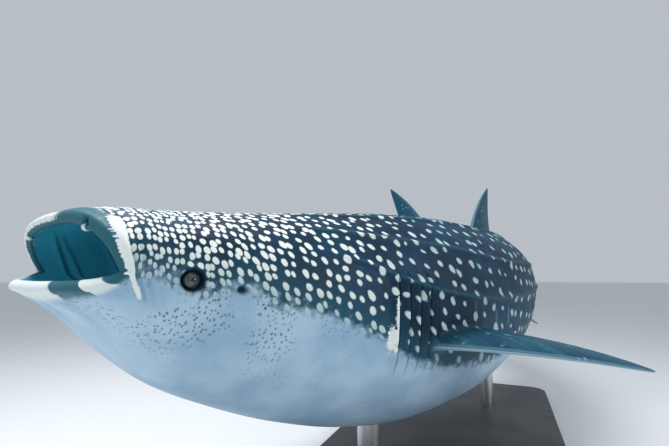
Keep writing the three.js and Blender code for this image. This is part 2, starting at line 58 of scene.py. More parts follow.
# Profile tables: station, value
HEADING = [
    (-120, 76), (80, 72), (350, 64), (700, 58), (1250, 55), (1850, 60), (2650, 69), (3350, 81),
    (4150, 94), (5050, 107), (5700, 131), (6080, 150),
]
HALF_WIDTH = [
    (-120, 440), (-60, 460), (40, 500), (250, 522), (550, 585), (950, 635), (1350, 655),
    (1750, 650), (2250, 625), (2850, 575), (3550, 490), (4350, 365), (5050, 235), (5650, 140),
    (5870, 105), (6080, 42),
]
TOP = [
    (-120, 215), (-60, 252), (0, 278), (100, 294), (300, 302), (550, 318), (950, 350),
    (1350, 385), (1750, 415), (2250, 430), (2850, 422), (3550, 372), (4350, 285), (5050, 210),
    (5650, 165), (6080, 128),
]
BOTTOM = [
    (-120, -60), (-60, -110), (30, -200), (180, -365), (330, -490), (550, -605), (950, -765),
    (1350, -868), (1750, -915), (2250, -895), (2850, -790), (3550, -640), (4350, -465),
    (5050, -310), (5650, -200), (6080, -128),
]
WIDEST = [
    (-120, 22), (150, 10), (450, -40), (950, -110), (1550, -150), (2350, -140), (3350, -90),
    (4350, -40), (5150, 0), (6080, 0),
]
UPPER_POWER = [(-60, 3), (250, 2.7), (950, 2.35), (2250, 2.15), (6080, 2)]
LOWER_POWER = [(-60, 2.6), (250, 2.3), (1350, 2.1), (6080, 2)]
CAVITY_HALF_WIDTH = [(-120, 395), (40, 448), (260, 435), (480, 375), (670, 265), (840, 120)]
CAVITY_TOP = [(-120, 175), (-60, 212), (40, 246), (260, 240), (480, 185), (670, 100), (840, 10)]
CAVITY_BOTTOM = [
    (-120, -18), (-60, -42), (40, -90), (260, -190), (480, -240), (670, -210), (840, -120),
]

# Widest level, half-width, top, bottom, and upper and lower power of the sections
SKIN_TABLES = (WIDEST, HALF_WIDTH, TOP, BOTTOM, UPPER_POWER, LOWER_POWER)
CAVITY_TABLES = (WIDEST, CAVITY_HALF_WIDTH, CAVITY_TOP, CAVITY_BOTTOM, 2.6, 2.4)

# Ridges on each flank: side angles along the path, first and last station, height, keeled or not
RIDGES = [
    ([(650, 26), (2250, 30), (6080, 36)], 650, 5200, 13, False),
    ([(650, 44), (1050, 48), (1750, 58), (2650, 68), (6080, 66)], 750, 4700, 17, False),
    ([(650, 60), (1050, 66), (1650, 84), (2250, 90), (6080, 90)], 850, 6080, 18, True),
]
# Form of the ridges; the last half-width is that of the painted highlight along each crest
RIDGE = {
    "half_width": 26, "crest_share": 0.36, "rising": 500, "falling": 600, "highlight_half_width": 9,
}
KEEL = {"start": 4700, "peak": 5600, "fade": 5700, "end": 6060, "height": 62, "half_width": 34}

# Gill flaps: stations, and the form of each along the body and down the flank
GILL_STATIONS = [1385, 1452, 1518, 1580, 1638]
GILL = {
    "rise": 20, "pit": 26, "ramp": 54, "round": 8, "edge": 4, "pit_end": 18, "bow": 10, "lead": 5,
    "top": 78, "bottom": 113, "fade": 7,
}

# Rolled lips, and the furrow that parts them from the face
LIP = {"roll": 14, "reach": 26, "lower": 46}
LIP_GROOVE = {"depth": 6, "middle": 0.66, "half_width": 0.045}

# Eyes with their sockets and lids, spiracles, nostrils and nasal flaps
EYE = {"radius": 34, "sink": 14, "iris": 21, "pupil": 12, "bulge": 3}
SOCKET = {"half_length": 43, "half_height": 39, "depth": 26}
LID = {"radius": 50, "half_width": 11, "rise": 12}
LID_CREASE = {"radius": 80, "half_width": 8, "depth": 3}
SPIRACLE = {"half_length": 24, "half_width": 15, "rise": -24, "rim": 5}
NOSTRIL = {"angle": 43, "share": 0.5, "half_length": 12, "half_width": 16, "rise": -24, "rim": 0}
NASAL_FLAP = {"share": 0.84, "half_length": 22, "half_width": 17, "rise": 14, "rim": 0}
OVAL_RIM = 1.7

# Folds of the mouth lining: station at FOLD_ANGLE, slant, height, side angle where each ends
MOUTH_FOLDS = [(55, 1.7, 9, 150), (88, 2.2, 6, 100), (250, 2.2, 10, 150), (350, 2.0, 10, 150)]
FOLD_ANGLE = 60
FOLD_BEND = 0.07
FOLD_HALF_WIDTH = 11
# Painted shadow in the crease behind each fold: distance behind it, half-width, and the fold height
# for full shadow
CREASE = {"behind": 9, "half_width": 7, "full_height": 10}

# Soft folds behind each corner of the mouth: distance behind the pale patch, height, half-width
CORNER_FOLDS = [(4, 11, 12), (44, 8, 13), (92, 5, 17)]

# Pale patch that runs down behind each corner of the mouth: side angle, station, half-width
PATCH = [
    (40, -6, 30), (60, 0, 34), (75, 5, 22), (85, 18, 18), (92, 35, 16), (98, 60, 15),
    (106, 84, 12),
]
# Side angle of the border between the dark back and the pale belly
BORDER = [
    (-120, 84), (52, 91), (325, 91), (540, 89), (828, 91), (1092, 96), (1324, 103), (1600, 112),
    (2100, 119), (4000, 121), (6080, 118),
]
# Distance between neighbouring spots
SPOT_STEP = [
    (-120, 31), (100, 33), (400, 37), (700, 47), (1050, 60), (1450, 75), (1800, 94), (2500, 114),
    (6080, 90),
]

# The centreline, in short steps both ways from one station, and where the whole of it stands
STEP = 10
ANCHOR = {"station": 1250, "x": -1090, "y": 2235}
CENTRELINE_START = -150
CENTRELINE_END = 8000
AXIS_HEIGHT = 1330
PLAN_SHIFT = (470, -3486)
METRES = 0.001
UPWARDS = np.array([0, 0, 1.0])


def value_at(table, x):
    """Value of a table at a station, by cubic pieces that don't overshoot, or a plain number."""
    if isinstance(table, float):
        return table
    stations = np.array([row[0] for row in table], float)
    values = np.array([row[1] for row in table], float)
    x = np.clip(np.asarray(x, float), stations[0], stations[-1])
    slopes = np.diff(values) / np.diff(stations)
    before = slopes[:-1]
    after = slopes[1:]
    total = np.where(before + after == 0, 1, before + after)
    inner = np.where(before * after <= 0, 0, 2 * before * after / total)
    tangents = np.concatenate([slopes[:1], inner, slopes[-1:]])
    i = np.clip(np.searchsorted(stations, x, side="left") - 1, 0, len(stations) - 2)
    span = stations[i + 1] - stations[i]
    t = (x - stations[i]) / span
    rise = t * t * (3 - 2 * t)
    bend = span * t * (1 - t) * (tangents[i] * (1 - t) - tangents[i + 1] * t)
    return values[i] * (1 - rise) + values[i + 1] * rise + bend


def smooth_step(start, end, x):
    """Share that goes softly from 0 at start to 1 at end, whichever of them is greater."""
    t = np.clip((x - start) / (end - start), 0, 1)
    return t * t * (3 - 2 * t)


def hump(x, half_width):
    """Smooth hump of height 1 about zero."""
    return np.exp(-((x / half_width) ** 2))


def walk(end, way):
    """Plan points of the centreline from the anchor to an end; way is 1 towards the tail."""
    stations = np.arange(ANCHOR["station"], end, STEP * way)
    heading = np.radians(value_at(HEADING, stations + STEP / 2 * way))
    x = ANCHOR["x"] + np.cumsum(STEP * way * np.cos(heading))
    y = ANCHOR["y"] + np.cumsum(STEP * way * np.sin(heading))
    return np.stack([x, y], 1)


CENTRELINE = np.concatenate([
    walk(CENTRELINE_START, -1)[::-1],
    [[ANCHOR["x"], ANCHOR["y"]]],
    walk(CENTRELINE_END, 1),
])


def directions(s):
    """Ways to the tail and to the animal's left, at a station."""
    heading = np.radians(value_at(HEADING, s))
    flat = np.zeros_like(heading)
    back = np.stack([np.cos(heading), np.sin(heading), flat], -1)
    left = np.stack([np.sin(heading), -np.cos(heading), flat], -1)
    return back, left


def placed(s, left, up):
    """Point at distances left and up from the centreline."""
    s = np.asarray(s, float)
    k = np.clip((s - CENTRELINE_START) / STEP, 0, len(CENTRELINE) - 1.001)
    i = np.floor(k).astype(int)
    f = (k - i)[..., None]
    plan = CENTRELINE[i] * (1 - f) + CENTRELINE[i + 1] * f + np.array(PLAN_SHIFT)
    left_way = directions(s)[1]
    point = np.concatenate([plan, np.broadcast_to(AXIS_HEIGHT + up, s.shape)[..., None]], -1)
    return point + left_way * np.broadcast_to(left, s.shape)[..., None]


def signed_power(x, p):
    return np.sign(x) * np.abs(x) ** p


def section_point(tables, s, angle):
    """Outline of a section, as distances left and up from the centreline."""
    widest, half_width, top, bottom, upper, lower = (value_at(table, s) for table in tables)
    a = np.radians(angle)
    over = np.cos(a) >= 0
    power = np.where(over, upper, lower)
    reach = np.where(over, top - widest, widest - bottom)
    left = half_width * signed_power(np.sin(a), 2 / power)
    return left, widest + reach * signed_power(np.cos(a), 2 / power)


def signed_angle(angle):
    """The angle from -180 to 180, negative on the right flank."""
    return np.where(angle > 180, angle - 360, angle)


def side_angle(angle):
    return np.abs(signed_angle(angle))


def half_height(s):
    return (value_at(TOP, s) - value_at(BOTTOM, s)) / 2


def ridge_lines(s, side):
    """For each ridge: distance from its crest, share of its height, and its row."""
    lines = []
    for row in RIDGES:
        path, start, end = row[:3]
        off = np.radians(side - value_at(path, s)) * half_height(s)
        rising = smooth_step(start, start + RIDGE["rising"], s)
        ends = rising * (1 - smooth_step(end - RIDGE["falling"], end, s))
        lines.append((off, ends, row))
    return lines


def ridge_relief(s, side):
    """Long ridges with a fine crest, and the keels of the tail."""
    out = np.zeros_like(s)
    for off, ends, (_, _, _, height, keeled) in ridge_lines(s, side):
        tall = height * ends
        half_width = np.full_like(s, RIDGE["half_width"])
        if keeled:
            keel = smooth_step(KEEL["start"], KEEL["peak"], s)
            keel = keel * (1 - smooth_step(KEEL["fade"], KEEL["end"], s))
            tall = tall + KEEL["height"] * keel
            half_width = half_width + (KEEL["half_width"] - RIDGE["half_width"]) * keel
        broad = hump(off, half_width)
        crest = hump(off, RIDGE["crest_share"] * half_width)
        out += tall * (0.72 * broad + 0.28 * crest)
    return out


def crest_share(s, side):
    """Share of the painted highlight along the crest of a ridge, from 0 to 1."""
    near = np.zeros_like(s)
    for off, ends, _ in ridge_lines(s, side):
        near = np.maximum(near, ends * hump(off, RIDGE["highlight_half_width"]))
    return near


def gill_relief(s, side):
    """Gill flaps: each rises to a rounded rear edge that stands over a narrow pit."""
    tall = smooth_step(GILL["top"] - GILL["fade"], GILL["top"] + GILL["fade"], side)
    low = smooth_step(GILL["bottom"] - GILL["fade"], GILL["bottom"] + GILL["fade"], side)
    tall = tall * (1 - low)
    out = np.zeros_like(s)
    down = np.clip((side - GILL["top"]) / (GILL["bottom"] - GILL["top"]), 0, 1)
    bow = GILL["bow"] * np.sin(np.pi * down)
    crest = -GILL["round"]
    edge = GILL["edge"]
    for gill in GILL_STATIONS:
        d = s - gill + bow - GILL["lead"]
        rising = GILL["rise"] * smooth_step(-GILL["ramp"], crest, d)
        falling = GILL["rise"] - (GILL["rise"] + GILL["pit"]) * smooth_step(crest, edge, d)
        leaving = -GILL["pit"] * (1 - smooth_step(edge, GILL["pit_end"], d))
        flap = np.where(d <= crest, rising, np.where(d <= edge, falling, leaving))
        out += tall * np.where((d > -GILL["ramp"]) & (d < GILL["pit_end"]), flap, 0)
    return out


def pushed(s, left, up, out):
    """Point of a section, moved outwards from the section's middle."""
    widest = value_at(WIDEST, s)
    away = np.maximum(np.hypot(left, up - widest), 1e-6)
    return placed(s, left + left / away * out, up + (up - widest) / away * out)


def skin_point(s, angle, grow=0.0):
    """Point on the skin; grow moves it outwards."""
    side = side_angle(angle)
    out = ridge_relief(s, side) + gill_relief(s, side) + grow
    return pushed(s, *section_point(SKIN_TABLES, s, angle), out)


def cavity_point(s, angle, fold=0.0):
    """Point on the wall of the mouth; fold moves it inwards."""
    return pushed(s, *section_point(CAVITY_TABLES, s, angle), -fold)


def unit(vector):
    return vector / np.linalg.norm(vector)


def spot_frame(s, angle):
    """Skin point, and the ways along the skin, across it and out of it."""
    s = np.array([float(s)])
    angle = np.array([float(angle)])
    at = skin_point(s, angle)[0]
    out = unit(skin_point(s, angle, 100)[0] - at)
    back = directions(s)[0][0]
    along = unit(back - out * back.dot(out))
    return at, along, np.cross(out, along), out


def rim_station(angle):
    """Station of the mouth's rim, furthest back at the corners of the mouth."""
    across = np.abs(np.sin(np.radians(angle)))
    front = np.where(np.cos(np.radians(angle)) < 0, UPPER_LIP - LIP["lower"], UPPER_LIP)
    return front + (MOUTH_CORNER - front) * (1 - np.cbrt(np.maximum(0, 1 - across**3)))


def lip_point(angle, share):
    """Point on the rounded band of the lips; share runs from the outer to the inner edge."""
    rim = rim_station(angle)
    turned = (1 - np.cos(np.pi * share)) / 2
    outer = skin_point(rim, angle, LIP["roll"])
    forward = directions(rim)[0] * (LIP["reach"] * np.sin(np.pi * share))
    return outer * (1 - turned) + cavity_point(rim, angle) * turned - forward


def lip_frame(angle, share):
    """Lip point, and the ways inwards over the lip, round it and out of it."""
    def at(turned, moved):
        return lip_point(np.array([angle + turned]), share + moved)[0]

    inward = at(0.0, 0.1) - at(0.0, -0.1)
    around = at(3.0, 0.0) - at(-3.0, 0.0)
    out = unit(np.cross(inward, around))
    inward = unit(inward)
    if out.dot(directions(0)[0]) > 0:
        out = -out
    return at(0.0, 0.0), inward, np.cross(out, inward), out


def fold_lines(s, side):
    """For each fold of the mouth lining: distance behind it, and its height there."""
    bend = FOLD_BEND * np.maximum(side - 85, 0) ** 2
    lines = []
    for start, slope, height, last in MOUTH_FOLDS:
        window = smooth_step(30, 50, side) * smooth_step(last + 10, last - 10, side)
        lines.append((s - start - slope * (side - FOLD_ANGLE) - bend, height * window))
    return lines


def mouth_fold(s, side):
    """Raised curved folds of the mouth lining, in front of the throat."""
    return sum(height * hump(off, FOLD_HALF_WIDTH) for off, height in fold_lines(s, side))


def crease_shadow_share(s, side):
    """Share of the painted shadow in the crease behind a fold, from 0 to 1."""
    lines = [
        height / CREASE["full_height"] * hump(off - CREASE["behind"], CREASE["half_width"])
        for off, height in fold_lines(s, side)
    ]
    return np.clip(sum(lines), 0, 1)


def patch_line(side):
    """Station and half-width of the pale patch at a side angle."""
    degrees = [row[0] for row in PATCH]
    stations = np.interp(side, degrees, [row[1] for row in PATCH])
    return stations, np.interp(side, degrees, [row[2] for row in PATCH])


def corner_fold(s, side):
    """Thick soft folds of skin behind each corner of the mouth."""
    out = np.zeros_like(s)
    middle = patch_line(side)[0]
    window = smooth_step(66, 86, side) * (1 - smooth_step(102, 116, side))
    for behind, height, width in CORNER_FOLDS:
        off = s - middle - behind
        furrow = 0.5 * hump(off - 1.6 * width, 0.6 * width)
        out += height * window * (hump(off, width) - furrow)
    return out


def eye_form(x, y):
    """Rise of a socket with its lid and the crease round it, and the share of painted shade in the
    socket.
    """
    r = np.hypot(x, y)
    lid = LID["rise"] * hump(r - LID["radius"], LID["half_width"])
    bowl = 1 - (x / SOCKET["half_length"]) ** 2 - (y / SOCKET["half_height"]) ** 2
    socket = -SOCKET["depth"] * np.sqrt(np.clip(bowl, 0, 1))
    crease = -LID_CREASE["depth"] * hump(r - LID_CREASE["radius"], LID_CREASE["half_width"])
    return lid + socket + crease, smooth_step(56, 40, r)


def oval_form(size):
    """Form of a spiracle, nostril or nasal flap: a smooth oval dent or rise with its rim, and a
    share that paints shade in a dent and paleness on a flap.
    """
    def form(x, y):
        r2 = (x / size["half_length"]) ** 2 + (y / size["half_width"]) ** 2
        rim = size["rim"] * np.exp(-3 * (np.sqrt(r2) - OVAL_RIM) ** 2)
        return size["rise"] * np.exp(-(r2**1.5)) + rim, np.exp(-(r2**2))
    return form


def face_relief(points):
    """Points with lids, sockets, spiracles, nostrils and nasal flaps; the share of painted shade in
    the hollows, and how pale.
    """
    moved = points.copy()
    deep = np.zeros(len(points))
    pale = np.zeros(len(points))

    def press(form, place, reach, painted):
        at, along, across, out = place
        d = points - at
        near = (np.linalg.norm(d, axis=1) < reach) & (np.abs(d @ out) < 70)
        rise, share = form(d @ along, d @ across)
        moved[:] += np.where(near, rise, 0)[:, None] * out
        painted[:] += np.where(near, share, 0)

    for angle in (90, 270):
        press(eye_form, spot_frame(EYE_STATION, angle), 150, deep)
        press(oval_form(SPIRACLE), spot_frame(SPIRACLE_STATION, angle), 100, deep)
    for angle in (NOSTRIL["angle"], 360 - NOSTRIL["angle"]):
        press(oval_form(NOSTRIL), lip_frame(angle, NOSTRIL["share"]), 60, deep)
        press(oval_form(NASAL_FLAP), lip_frame(angle, NASAL_FLAP["share"]), 60, pale)
    return moved, np.clip(deep, 0, 1), np.clip(pale, 0, 1)


# Rings of the skin and their columns, which are evenly spaced round each quarter of a section
UPPER_COLUMNS = 108
LOWER_COLUMNS = 128
TRUNK_FRONT = 1760
TRUNK_ROWS = 272
GILL_STEP = 6.0
GILL_EDGE_STEP = 2.5
HEAD_BACK = 1240.0
HEAD_ROWS = 142
CLOSEST_ROWS = 1.6
JAW_ROWS = 38
MIDDLE_RIM = -40.0
LIP_ROWS = 14
INNER_ROWS = 26
THROAT_ROWS = 54


def column_angles(station):
    """Angles of the columns at a station, and how far round each is from the top."""
    angles = [0.0]
    arcs = [0.0]
    for start, count in ((0, UPPER_COLUMNS), (90, LOWER_COLUMNS)):
        fine = start + 90 * (1 - np.cos(np.linspace(0, np.pi, 400))) / 2
        left, up = section_point(SKIN_TABLES, np.full_like(fine, station), fine)
        lengths = np.concatenate([[0], np.cumsum(np.hypot(np.diff(left), np.diff(up)))])
        even = np.linspace(0, lengths[-1], count + 1)[1:]
        angles.extend(np.interp(even, lengths, fine))
        arcs.extend(arcs[-1] + even)
    angles = np.array(angles)
    arcs = np.array(arcs)
    ring = np.concatenate([angles, 360 - angles[1:-1][::-1]])
    return ring, np.concatenate([arcs, -arcs[1:-1][::-1]])


def outer_stations():
    """Stations of the rings from the tail to the jaws, closest together at the gills."""
    rows = [
        np.linspace(BODY_END, TRUNK_FRONT, TRUNK_ROWS),
        np.arange(TRUNK_FRONT - GILL_STEP, HEAD_BACK, -GILL_STEP),
        np.linspace(HEAD_BACK, JAW_BACK, HEAD_ROWS),
    ]
    for gill in GILL_STATIONS:
        rows.append(np.arange(gill - 16, gill + 24, GILL_EDGE_STEP))
    stations = np.sort(np.concatenate(rows))[::-1]
    kept = [stations[0]]
    for station in stations[1:]:
        if kept[-1] - station > CLOSEST_ROWS:
            kept.append(station)
    kept[-1] = JAW_BACK
    return np.array(kept)


def body_rings():
    """Rings of the skin from the tail over the lips into the throat."""
    rows = []

    def add(points, s, angle, around, lip=0, mouth=0, share=0):
        row = {"points": points, "s": s, "angle": angle, "around": around}
        for name, value in (("lip", lip), ("mouth", mouth), ("share", share)):
            row[name] = np.zeros_like(s) + value
        rows.append(row)

    for station in outer_stations():
        angle, around = column_angles(station)
        s = np.full_like(angle, station)
        grow = corner_fold(s, side_angle(angle))
        add(skin_point(s, angle, grow), s, angle, around)
    for u in np.linspace(0, 1, JAW_ROWS + 1)[1:]:
        angle, around = column_angles(JAW_BACK + (MIDDLE_RIM - JAW_BACK) * u)
        s = JAW_BACK + (rim_station(angle) - JAW_BACK) * u
        groove = LIP_GROOVE["depth"] * hump(u - LIP_GROOVE["middle"], LIP_GROOVE["half_width"])
        roll = LIP["roll"] * smooth_step(0.72, 0.95, u)
        grow = roll - groove + corner_fold(s, side_angle(angle))
        narrow = np.where(np.cos(np.radians(angle)) < 0, 0.08, 0)
        lip = smooth_step(0.80 + narrow, 0.92 + narrow, u)
        add(skin_point(s, angle, grow), s, angle, around, lip)
    angle, around = column_angles(MIDDLE_RIM)
    rim = rim_station(angle)
    for share in np.linspace(0, 1, LIP_ROWS + 2)[1:-1]:
        add(lip_point(angle, share), rim, angle, around, 1, 0, share)
    for u in np.linspace(1, 0, INNER_ROWS + 1):
        s = JAW_BACK + (rim - JAW_BACK) * u
        fold = mouth_fold(s, side_angle(angle)) * (1 - u)
        lip = smooth_step(0.94, 1, u)
        mouth = 1 - smooth_step(0.95, 1, u)
        add(cavity_point(s, angle, fold), s, angle, around, lip, mouth, 1)
    for station in np.linspace(JAW_BACK, CAVITY_END, THROAT_ROWS + 1)[1:]:
        s = np.full_like(angle, station)
        fold = mouth_fold(s, side_angle(angle)) * (1 - smooth_step(620, 760, station))
        add(cavity_point(s, angle, fold), s, angle, around, 0, 1)
    return {name: np.stack([row[name] for row in rows]) for name in rows[0]}


def ring_quads(count_rows, count_columns):
    """Vertex numbers by ring and column, the same one column on, and the quads between rings."""
    index = np.arange(count_rows * count_columns).reshape(count_rows, count_columns)
    after = np.roll(index, -1, 1)
    quads = np.stack([index[:-1], after[:-1], after[1:], index[1:]], -1).reshape(-1, 4)
    return index, after, quads.tolist()


def grid_faces(count_rows, count_columns):
    """Quads of a tube of rings, and a fan to a middle vertex at each end."""
    index, after, quads = ring_quads(count_rows, count_columns)
    first = count_rows * count_columns
    start = np.stack([np.full(count_columns, first), after[0], index[0]], -1)
    end = np.stack([np.full(count_columns, first + 1), index[-1], after[-1]], -1)
    return quads + start.tolist() + end.tolist()


def fin_faces(count_rows, count_columns):
    """Quads between the rings of a fin, and a ladder of quads over each of its ends."""
    index, _, quads = ring_quads(count_rows, count_columns)
    for ring, turned in ((index[0], True), (index[-1], False)):
        for k in range(count_columns // 2 - 1):
            far = count_columns - 1 - k
            rung = [ring[k], ring[k + 1], ring[far - 1], ring[far]]
            quads.append([int(v) for v in (rung[::-1] if turned else rung)])
    return quads


def turned_out(points, faces):
    """The same faces, turned round if they enclose the points from inside out."""
    volume = 0.0
    for size in (3, 4):
        chosen = np.array([f for f in faces if len(f) == size])
        for k in range(1, size - 1):
            if len(chosen):
                a = points[chosen[:, 0]]
                b = points[chosen[:, k]]
                c = points[chosen[:, k + 1]]
                volume += np.einsum("ij,ij->i", a, np.cross(b, c)).sum()
    return faces if volume > 0 else [f[::-1] for f in faces]


def added(name, data):
    """New object in the scene."""
    made = bpy.data.objects.new(name, data)
    bpy.context.scene.collection.objects.link(made)
    return made


def mesh_object(name, points, faces):
    """Object with a smooth-shaded mesh, from points in millimetres."""
    mesh = bpy.data.meshes.new(name)
    mesh.from_pydata((points * METRES).tolist(), [], turned_out(points, faces))
    mesh.shade_smooth()
    return added(name, mesh)


# Fins: streamlined sections stacked from inside the body to the tip
FIN_EDGE = 7
FIN_ROWS = 84
FIN_CHORD_POINTS = 46
FIN_ROOT_ROWS = 8
LEAST_CHORD = 12


def fin_grid(root, along, out, face, span, root_chord, tip_chord, sweep, hollow, thick, sunk,
             arch=0, bow=0, under=0, step=60):
    """Rings of one fin, with each point's place in steps, its paleness and distance to an edge.

    The leading edge sweeps back and bows out, the trailing edge is hollow, and the root is
    sunk in the body. Arch bends the fin towards its face, and under says which face is pale.
    """
    inside = np.linspace(-sunk / span, 0, FIN_ROOT_ROWS)[:-1]
    outside = 1 - (1 - np.linspace(0, 1, FIN_ROWS)) ** 1.25
    u = np.concatenate([inside, outside])[:, None]
    v = np.maximum(0, u)
    lead = sweep * (v**1.35 * 0.75 + v * 0.25) - bow * np.sin(np.pi * v)
    trail = root_chord + (sweep + tip_chord - root_chord) * v
    trail = trail - hollow * np.sin(np.pi * v**0.8)
    rounding = np.sqrt(np.maximum(0, 1 - v**7))
    middle = lead * 0.35 + trail * 0.65
    chord = np.maximum(LEAST_CHORD, (trail - lead) * rounding)
    start = middle + (lead - middle) * rounding
    depth = FIN_EDGE + (thick - FIN_EDGE) * (1 - v) ** 0.8
    c = ((1 - np.cos(np.linspace(0, np.pi, FIN_CHORD_POINTS))) / 2)[None, :]
    edge = FIN_EDGE / 2
    to_edge = np.minimum(c, 1 - c) * chord
    rounded = edge * np.sqrt(1 - (1 - np.minimum(1, (to_edge + 0.4) / edge)) ** 2)
    half = rounded + (depth - FIN_EDGE) / 2 * np.sin(np.pi * c**0.62)
    place = start + chord * c
    centre = (
        root
        + out * (u * span + 0 * c)[..., None]
        + along * place[..., None]
        + face * (arch * v * v + 0 * c)[..., None]
    )
    upper = centre + face * half[..., None]
    lower = (centre - face * half[..., None])[:, ::-1]
    spread = np.concatenate([place, place[:, ::-1]], 1)
    facing = np.concatenate([np.ones_like(place), -np.ones_like(place)], 1)
    return {
        "points": np.concatenate([upper, lower], 1),
        "along": spread / step,
        "reach": np.broadcast_to(u * span, spread.shape) / step,
        "pale": (facing * under > 0).astype(float),
        "edge": np.concatenate([to_edge, to_edge[:, ::-1]], 1),
    }


def one_point(function, s, *rest):
    """Value of a function of arrays, for single numbers."""
    return function(np.array([float(s)]), *[np.array([float(r)]) for r in rest])[0]


def fin_directions(s, out_left, out_up, out_back):
    """Ways along the root of a fin, out of the body, and out of the fin's face."""
    back, left = directions(s)
    out = unit(left * out_left + UPWARDS * out_up + back * out_back)
    along = unit(back - out * back.dot(out))
    return along, out, np.cross(out, along)


def median_fin(station, up, **size):
    """Fin on the middle line of the back, or of the belly where up is false."""
    level = value_at(TOP if up else BOTTOM, station)
    along, out, face = fin_directions(station, 0, 1 if up else -1, 0)
    return fin_grid(one_point(placed, station, 0, level), along, out, face, **size)


def turn(vector, axis, degrees):
    a = math.radians(degrees)
    crossed = np.cross(axis, vector)
    return vector * math.cos(a) + crossed * math.sin(a) + axis * axis.dot(vector) * (1 - math.cos(a))


def paired_fin(side, station, angle, down, sweep_back, twist, **size):
    """Fin of the left flank for side 1, or of the right flank for side -1."""
    around = angle if side > 0 else 360 - angle
    along, out, face = fin_directions(station, side, -down, sweep_back)
    along = turn(along, out, -side * twist)
    face = turn(face, out, -side * twist)
    size["arch"] *= side
    under = 1 if face[2] < 0 else -1
    return fin_grid(one_point(skin_point, station, around), along, out, face, under=under, **size)


def tail_lobe(up, rise, **size):
    """Lobe of the tail fin, at an angle of rise over the way back."""
    bend = math.radians(value_at(HEADING, BODY_END) + 6)
    back = np.array([math.cos(bend), math.sin(bend), 0])
    a = math.radians(rise)
    out = back * math.cos(a) + UPWARDS * math.sin(a)
    along = back * abs(math.sin(a)) - UPWARDS * math.copysign(1, a) * math.cos(a)
    root = one_point(placed, TAIL_STATION, 0, 60 if up else -60)
    return fin_grid(root, along, out, np.cross(out, along), **size)


PECTORAL = dict(
    station=1590, angle=106, down=-0.02, sweep_back=0.85, twist=-10, span=1190, root_chord=470,
    tip_chord=110, sweep=320, hollow=70, thick=95, sunk=330, bow=60, arch=-235, step=48,
)
PELVIC = dict(
    station=3900, angle=128, down=0.75, sweep_back=0.55, twist=6, span=350, root_chord=340,
    tip_chord=90, sweep=150, hollow=35, thick=50, sunk=150, bow=20, arch=10, step=48,
)
FINS = {
    "dorsal_fin_first": median_fin(
        3240, True, span=590, root_chord=850, tip_chord=100, sweep=730, hollow=95, thick=105,
        sunk=190, bow=30),
    "dorsal_fin_second": median_fin(
        4860, True, span=265, root_chord=330, tip_chord=60, sweep=270, hollow=45, thick=52,
        sunk=110, bow=12),
    "anal_fin": median_fin(
        4980, False, span=285, root_chord=300, tip_chord=60, sweep=280, hollow=45, thick=48,
        sunk=110, bow=12),
    "pectoral_fin_left": paired_fin(1, **PECTORAL),
    "pectoral_fin_right": paired_fin(-1, **PECTORAL),
    "pelvic_fin_left": paired_fin(1, **PELVIC),
    "pelvic_fin_right": paired_fin(-1, **PELVIC),
    "caudal_fin_upper": tail_lobe(
        True, 58, span=1840, root_chord=640, tip_chord=120, sweep=60, hollow=60, thick=150,
        sunk=260, bow=120),
    "caudal_fin_lower": tail_lobe(
        False, -52, span=1180, root_chord=560, tip_chord=100, sweep=60, hollow=60, thick=130,
        sunk=220, bow=90),
}
# How far the root of each fin is smoothed into the body
FILLETS = dict.fromkeys(FINS, 40) | {
    "dorsal_fin_first": 75, "pectoral_fin_left": 75, "pectoral_fin_right": 75,
    "caudal_fin_upper": 70, "caudal_fin_lower": 70,
}
BODY_NODES = [
    "upper_jaw", "lower_jaw", "head", "gill_region", "trunk_front", "trunk_middle", "trunk_rear",
    "tail_front", "tail_stalk",
]


def joined_fins(names):
    """One object with the closed grids of several fins that don't meet."""
    points = []
    faces = []
    first = 0
    for name in names:
        rings = FINS[name]["points"]
        flat = rings.reshape(-1, 3)
        own = turned_out(flat, fin_faces(*rings.shape[:2]))
        faces += [[v + first for v in face] for face in own]
        points.append(flat)
        first += len(flat)
    return mesh_object("fins", np.concatenate(points), faces)


def unite(base, extra):
    """Joins base with the closed forms of extra, which is then removed."""
    modifier = base.modifiers.new("union", "BOOLEAN")
    modifier.operation = "UNION"
    modifier.solver = "MANIFOLD"
    modifier.object = extra
    graph = bpy.context.evaluated_depsgraph_get()
    mesh = bpy.data.meshes.new_from_object(base.evaluated_get(graph))
    base.modifiers.clear()
    base.data = mesh
    bpy.data.objects.remove(extra)


# The body's skin with the middle vertex of each end, and the fins joined to it
rings = body_rings()
ring_rows, ring_columns = rings["s"].shape
flat_points, rings["deep"], rings["pale"] = face_relief(rings["points"].reshape(-1, 3))
end_middles = np.stack([rings["points"][0].mean(0), rings["points"][-1].mean(0)])
body_points = np.concatenate([flat_points, end_middles])
END_VALUES = {"s": (BODY_END, CAVITY_END), "angle": (90, 90), "around": (200, 200), "mouth": (0, 1)}
body = {
    name: np.concatenate([values.reshape(-1), END_VALUES.get(name, (0, 0))])
    for name, values in rings.items() if name != "points"
}
skin = mesh_object("shark_skin", body_points, grid_faces(ring_rows, ring_columns))
unite(skin, joined_fins([name for name in FINS if name != "caudal_fin_lower"]))
unite(skin, joined_fins(["caudal_fin_lower"]))


def nearest(targets, queries):
    """Index of the nearest target for each query, and its distance."""
    tree = KDTree(len(targets))
    for i, point in enumerate(targets.tolist()):
        tree.insert(point, i)
    tree.balance()
    found = [tree.find(point) for point in queries.tolist()]
    return np.array([f[1] for f in found]), np.array([f[2] for f in found])


def fin_value(name):
    """One kind of value of all the fins' points, in one row."""
    return np.concatenate([fin[name].reshape(-1) for fin in FINS.values()])


